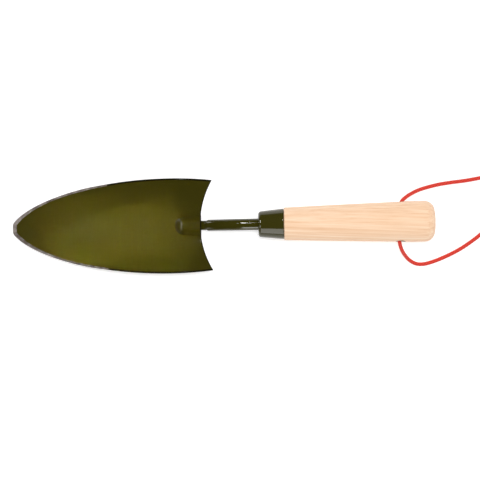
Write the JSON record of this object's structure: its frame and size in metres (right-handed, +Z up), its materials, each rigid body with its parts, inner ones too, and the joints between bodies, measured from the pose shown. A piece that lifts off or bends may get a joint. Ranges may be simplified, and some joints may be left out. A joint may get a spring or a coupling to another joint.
{
  "type": "hand transplanter",
  "caption": "Hand tool for planting: pointed dished steel blade on a cranked neck, with a ferrule, a turned wooden handle and a hanging cord.",
  "frame": {"origin": "centre of the tool's footprint, on the surface that it lies on", "axes": "+X from the blade's tip to the handle's butt, +Z up out of the blade's scoop, +Y to the left seen from the butt"},
  "size_m": [0.4396, 0.0877, 0.0313],
  "materials": {
    "olive_paint": "glossy olive green enamel on steel, ground bare along the blade's front edge",
    "ash_wood": "pale ash, turned and sanded, straight lengthwise grain, matt to satin",
    "red_cord": "red braided cord, slightly sheened"
  },
  "bodies": {
    "root": {"blade": "olive_paint", "tang": "olive_paint", "weld_bead_left": "olive_paint", "weld_bead_right": "olive_paint", "ferrule": "olive_paint", "handle": "ash_wood", "cord_lower_run": "red_cord", "cord_upper_run": "red_cord", "cord_knot": "red_cord", "cord_tail_a": "red_cord", "cord_tail_b": "red_cord"}
  },
  "joints": []
}
